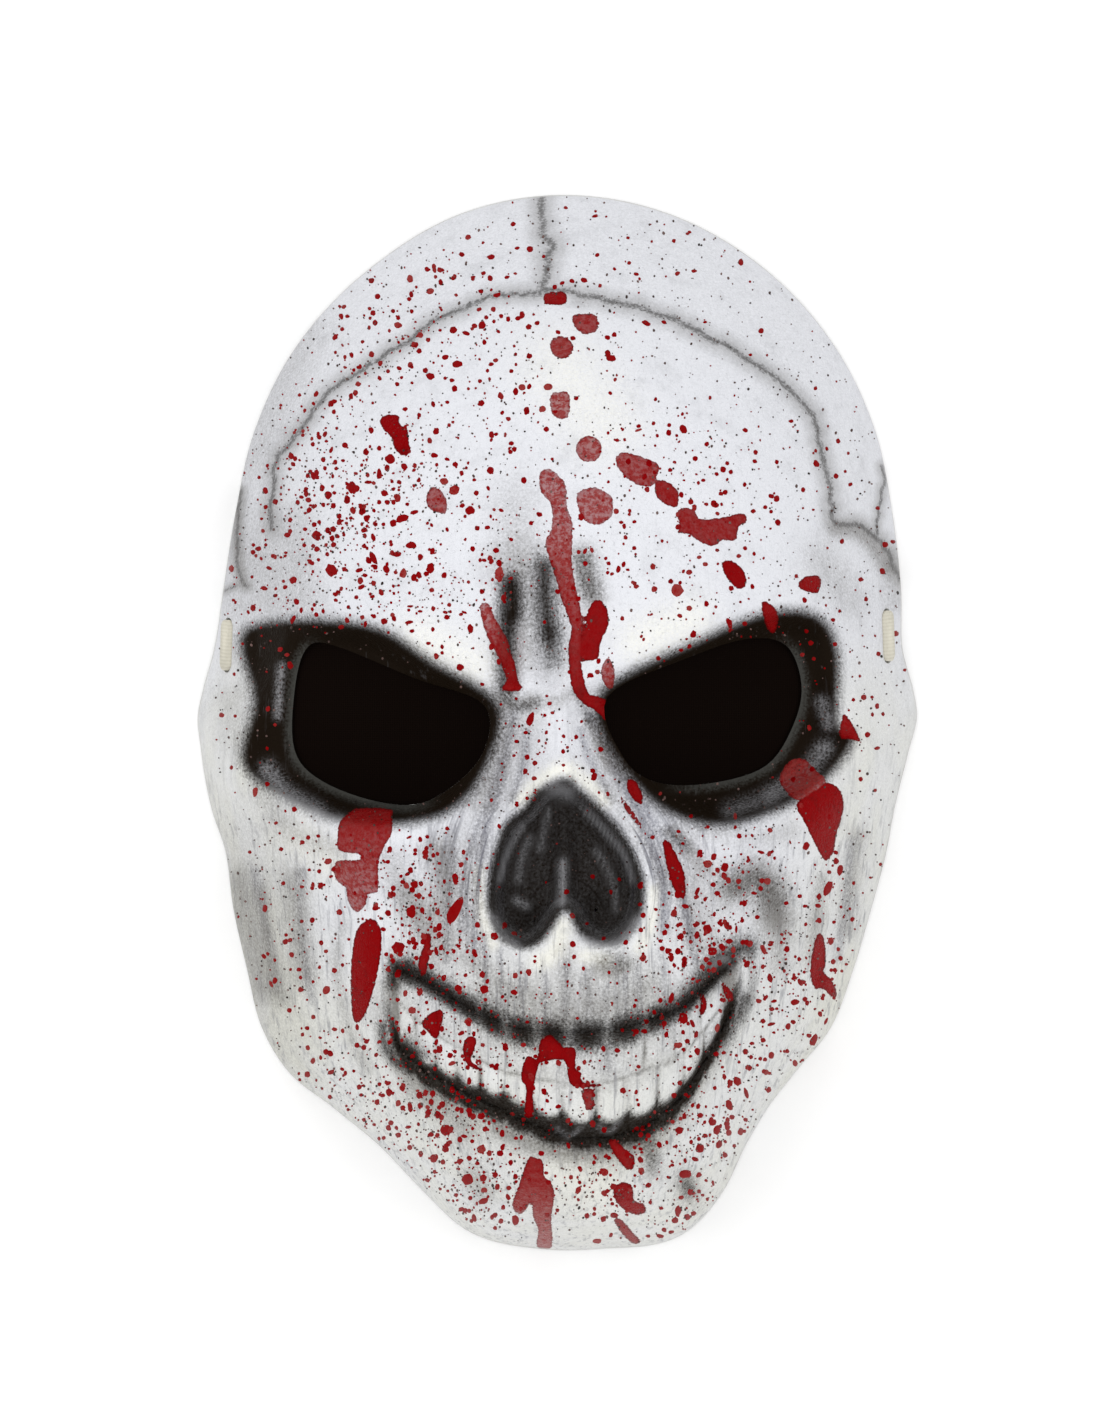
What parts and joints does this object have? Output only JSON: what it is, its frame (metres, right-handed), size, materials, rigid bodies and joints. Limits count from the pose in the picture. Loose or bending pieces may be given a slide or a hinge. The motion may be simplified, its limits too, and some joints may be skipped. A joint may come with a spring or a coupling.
{
  "type": "skull mask",
  "caption": "Rigid moulded skull face mask with open eye sockets backed by black gauze, a blind nose cavity, bared teeth, a flat rim and an elastic head strap held in side slots.",
  "frame": {"origin": "middle of the part's footprint, on the plane that its rim rests on", "axes": "+Z out of the face, +Y to the crown, +X to the right of someone who looks at the face"},
  "size_m": [0.1858, 0.2726, 0.0951],
  "materials": {
    "painted_shell": "off-white paint with airbrushed black-brown hollows and glossy dark red splashes",
    "black_gauze": "matt black fine mesh fabric",
    "cream_elastic": "ribbed woven elastic"
  },
  "bodies": {
    "root": {"mask_shell": "painted_shell", "eye_gauze_left": "black_gauze", "eye_gauze_right": "black_gauze", "head_strap": "cream_elastic"}
  },
  "joints": []
}
